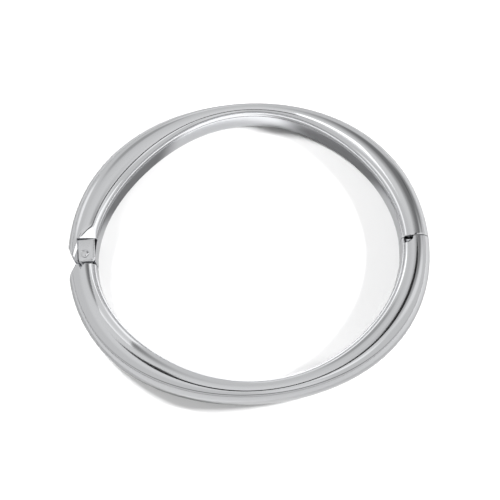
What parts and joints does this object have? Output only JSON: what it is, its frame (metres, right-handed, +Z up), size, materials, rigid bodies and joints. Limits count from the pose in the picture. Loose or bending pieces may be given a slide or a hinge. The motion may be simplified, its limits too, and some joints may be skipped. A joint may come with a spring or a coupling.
{
  "type": "bangle bracelet",
  "caption": "Hinged oval bangle of polished white metal, two hollow domed half shells with a leaf hinge and a push-in tongue clasp.",
  "frame": {"origin": "centre of the bangle's box in plan, at its underside, with the bangle lying flat", "axes": "+Z up, square to the flat bangle; +X from the hinge to the clasp, the long way of the oval; +Y towards the rear half, which carries the pin and the tongue"},
  "size_m": [0.0678, 0.0587, 0.0074],
  "materials": {
    "polished_shell": "mirror polished, rhodium plated",
    "liner_plate": "polished, rhodium plated",
    "end_fittings": "filed and lightly polished, rhodium plated",
    "hinge_hardware": "filed flat and polished, rhodium plated",
    "hinge_pin": "peened and polished",
    "spring_tongue": "rolled spring temper sheet, plated"
  },
  "bodies": {
    "rear_half": {"rear_outer_shell": "polished_shell", "rear_inner_liner": "liner_plate", "rear_hinge_block": "end_fittings", "hinge_top_leaf": "hinge_hardware", "hinge_bottom_leaf": "hinge_hardware", "hinge_pin": "hinge_pin", "rear_clasp_cap": "end_fittings", "tongue_base_leaf": "spring_tongue"},
    "front_half": {"front_outer_shell": "polished_shell", "front_inner_liner": "liner_plate", "front_hinge_block": "end_fittings", "hinge_knuckle": "hinge_hardware", "front_clasp_cap": "end_fittings", "clasp_guide_box": "end_fittings"},
    "latch_spring": {"tongue_spring_leaf": "spring_tongue", "thumb_tab": "spring_tongue"}
  },
  "joints": [
    {"name": "hinge_swing", "type": "hinge", "parent": "rear_half", "child": "front_half", "pos_m": [-0.0305, 0.0006, 0.0037], "axis": [0, 0, -1], "range_deg": [0, 45]},
    {"name": "tongue_press", "type": "hinge", "parent": "rear_half", "child": "latch_spring", "pos_m": [0.0309, -0.0056, 0.00295], "axis": [-1, 0, 0], "range_deg": [0, 8], "stiffness_Nm_per_rad": 0.15}
  ]
}
